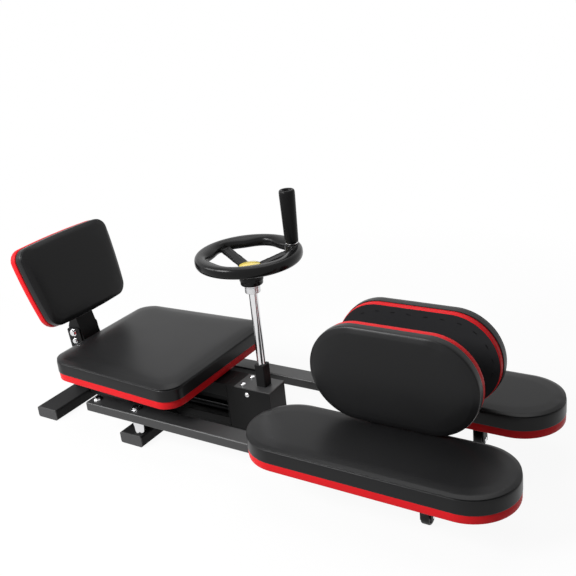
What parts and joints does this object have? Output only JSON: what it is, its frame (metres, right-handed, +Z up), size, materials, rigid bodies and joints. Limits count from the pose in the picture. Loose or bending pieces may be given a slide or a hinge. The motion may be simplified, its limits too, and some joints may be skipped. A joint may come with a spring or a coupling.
{
  "type": "leg stretching machine",
  "caption": "Low floor machine with a padded seat and backrest, two padded leg arms on casters that a handwheel opens sideways, and upright side pads.",
  "frame": {"origin": "centre of the bounding box's bottom face, on the floor below the handwheel's post", "axes": "+X forward from the backrest to the ends of the leg pads, +Y to the sitter's left, +Z up; the near side of the picture is -Y"},
  "size_m": [1.3146, 0.5028, 0.6136],
  "materials": {
    "black_paint": "satin powder coat",
    "end_caps": "ribbed matte plastic",
    "chrome": "bright plated",
    "machined_steel": "machined",
    "red_board": "board edge covered in red",
    "vinyl": "matte black upholstery vinyl",
    "black_plastic": "satin moulded plastic",
    "yellow_cap": "smooth bare cap"
  },
  "bodies": {
    "frame": {"rear_cross_tube": "black_paint", "pivot_cross_tube": "black_paint", "rear_tube_cap_near": "end_caps", "rear_tube_cap_far": "end_caps", "pivot_tube_cap_near": "end_caps", "pivot_tube_cap_far": "end_caps", "main_beam": "black_paint", "gearbox_housing": "black_paint", "gearbox_cover": "black_paint", "post_socket": "black_paint", "cover_screw_near": "chrome", "cover_screw_far": "chrome", "side_screw_near": "chrome", "side_screw_far": "chrome", "seat_front_bracket": "black_paint", "seat_rear_bracket": "black_paint", "seat_board": "red_board", "seat_cushion": "vinyl", "backrest_outer_bracket": "black_paint", "backrest_pivot_bolt": "chrome", "pivot_bush_near": "chrome", "pivot_bush_far": "chrome", "screw_rear_bearing": "machined_steel", "screw_front_bearing": "machined_steel"},
    "backrest": {"backrest_lock_bolt": "chrome", "backrest_inner_bracket": "black_paint", "backrest_board": "red_board", "backrest_cushion": "vinyl"},
    "leg_near": {"leg_rail_near": "black_paint", "pivot_bolt_near": "chrome", "link_bolt_near": "chrome", "leg_board_near": "red_board", "leg_cushion_near": "vinyl", "upright_bracket_near": "black_paint", "upright_board_near": "red_board", "upright_cushion_near": "vinyl", "caster_fork_near": "black_paint"},
    "leg_far": {"leg_rail_far": "black_paint", "pivot_bolt_far": "chrome", "link_bolt_far": "chrome", "leg_board_far": "red_board", "leg_cushion_far": "vinyl", "upright_bracket_far": "black_paint", "upright_board_far": "red_board", "upright_cushion_far": "vinyl", "caster_fork_far": "black_paint"},
    "caster_near": {"caster_wheel_near": "black_plastic"},
    "caster_far": {"caster_wheel_far": "black_plastic"},
    "link_near": {"link_bar_near": "machined_steel"},
    "link_far": {"link_bar_far": "machined_steel"},
    "carriage": {"nut_carriage": "machined_steel"},
    "screw": {"lead_screw": "machined_steel", "screw_bevel_gear": "machined_steel"},
    "wheel": {"wheel_post": "chrome", "post_bevel_gear": "machined_steel", "post_collar": "chrome", "handwheel": "black_plastic", "wheel_cap": "yellow_cap", "handle_spindle": "chrome"},
    "grip": {"handle_grip": "black_plastic"}
  },
  "joints": [
    {"name": "wheel_turn", "type": "hinge", "parent": "frame", "child": "wheel", "pos_m": [-0.0111, 0, 0.47], "axis": [0, 0, -1], "range_deg": [0, 6393.1]},
    {"name": "screw_turn", "type": "hinge", "parent": "frame", "child": "screw", "pos_m": [-0.2, 0, 0.05], "axis": [-1, 0, 0], "range_deg": [0, 6393.2]},
    {"name": "carriage_slide", "type": "slide", "parent": "frame", "child": "carriage", "axis": [1, 0, 0], "range_m": [0, 0.1776]},
    {"name": "leg_near_swing", "type": "hinge", "parent": "frame", "child": "leg_near", "pos_m": [-0.2969, -0.154, 0.083], "axis": [0, 0, -1], "range_deg": [0, 90]},
    {"name": "leg_far_swing", "type": "hinge", "parent": "frame", "child": "leg_far", "pos_m": [-0.2969, 0.154, 0.083], "axis": [0, 0, 1], "range_deg": [0, 90]},
    {"name": "link_near_turn", "type": "hinge", "parent": "leg_near", "child": "link_near", "pos_m": [-0.4251, -0.154, 0.067], "axis": [0, 0, 1], "range_deg": [0, 33.3]},
    {"name": "link_far_turn", "type": "hinge", "parent": "leg_far", "child": "link_far", "pos_m": [-0.4251, 0.154, 0.067], "axis": [0, 0, -1], "range_deg": [0, 33.3]},
    {"name": "backrest_tilt", "type": "hinge", "parent": "frame", "child": "backrest", "pos_m": [-0.6044, 0, 0.2021], "axis": [0, -1, 0], "range_deg": [-10, 10]},
    {"name": "grip_spin", "type": "hinge", "parent": "wheel", "child": "grip", "pos_m": [0.0662, 0.06578, 0.55], "axis": [0, 0, 1], "continuous": true},
    {"name": "caster_near_roll", "type": "hinge", "parent": "leg_near", "child": "caster_near", "pos_m": [0.4712, -0.154, 0.02], "axis": [1, 0, 0], "continuous": true},
    {"name": "caster_far_roll", "type": "hinge", "parent": "leg_far", "child": "caster_far", "pos_m": [0.4712, 0.154, 0.02], "axis": [1, 0, 0], "continuous": true}
  ],
  "couplings": [
    {"joint": "screw_turn", "follows": "wheel_turn", "ratio": 1},
    {"joint": "carriage_slide", "follows": "wheel_turn", "m_per_rad": 0.0015915},
    {"joint": "leg_near_swing", "follows": "wheel_turn", "ratio": 0.014077},
    {"joint": "leg_far_swing", "follows": "wheel_turn", "ratio": 0.014077},
    {"joint": "link_near_turn", "follows": "wheel_turn", "ratio": 0.005208},
    {"joint": "link_far_turn", "follows": "wheel_turn", "ratio": 0.005208}
  ]
}
